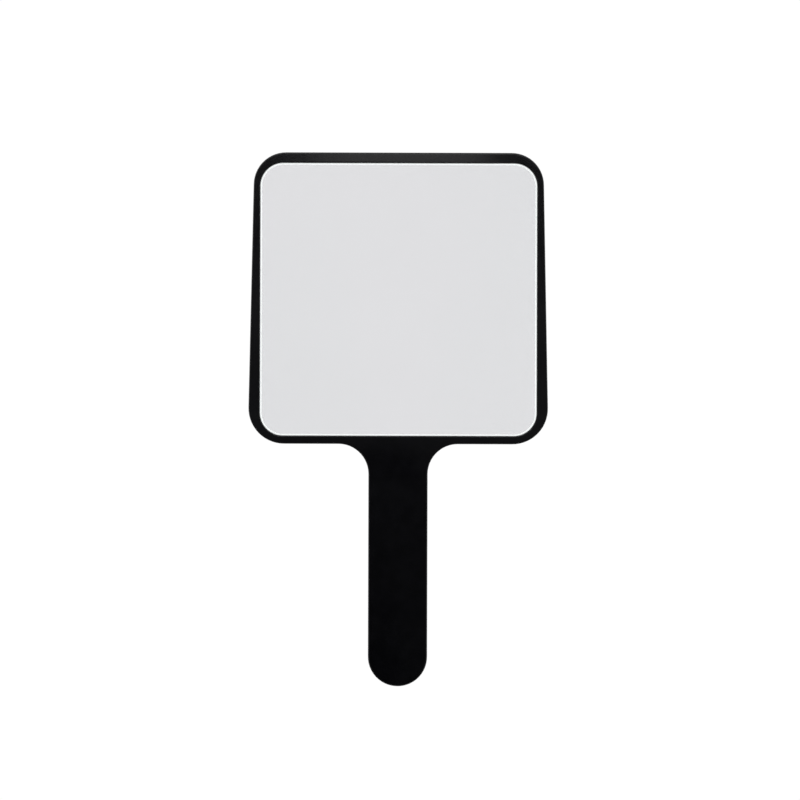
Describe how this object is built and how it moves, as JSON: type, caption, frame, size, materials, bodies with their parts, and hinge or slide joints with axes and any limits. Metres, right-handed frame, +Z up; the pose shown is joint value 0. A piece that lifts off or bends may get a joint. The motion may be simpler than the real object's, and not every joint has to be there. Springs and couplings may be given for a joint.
{
  "type": "hand mirror",
  "caption": "Flat square hand mirror with rounded corners: a glass pane set in a black plastic frame, on a straight flat handle with a round end.",
  "frame": {"origin": "middle of the grip: half way along the handle, on its centre line, half way through its thickness", "axes": "+Z runs up the handle towards the head, the mirror faces -Y, X is the width"},
  "size_m": [0.1496, 0.012, 0.2666],
  "materials": {
    "front_plastic": "satin",
    "back_plastic": "matte",
    "glass": "polished",
    "silvering": "polished",
    "film": "satin",
    "foam": "matte",
    "screw_steel": "satin",
    "cap_plastic": "matte"
  },
  "bodies": {
    "root": {"front_shell": "front_plastic", "back_cover": "back_plastic", "mirror_glass": "glass", "mirror_silvering": "silvering", "safety_film": "film", "tape_strip_outer_left": "foam", "tape_strip_inner_left": "foam", "tape_strip_inner_right": "foam", "tape_strip_outer_right": "foam", "head_screws": "screw_steel", "handle_screws": "screw_steel", "screw_caps": "cap_plastic"}
  },
  "joints": []
}
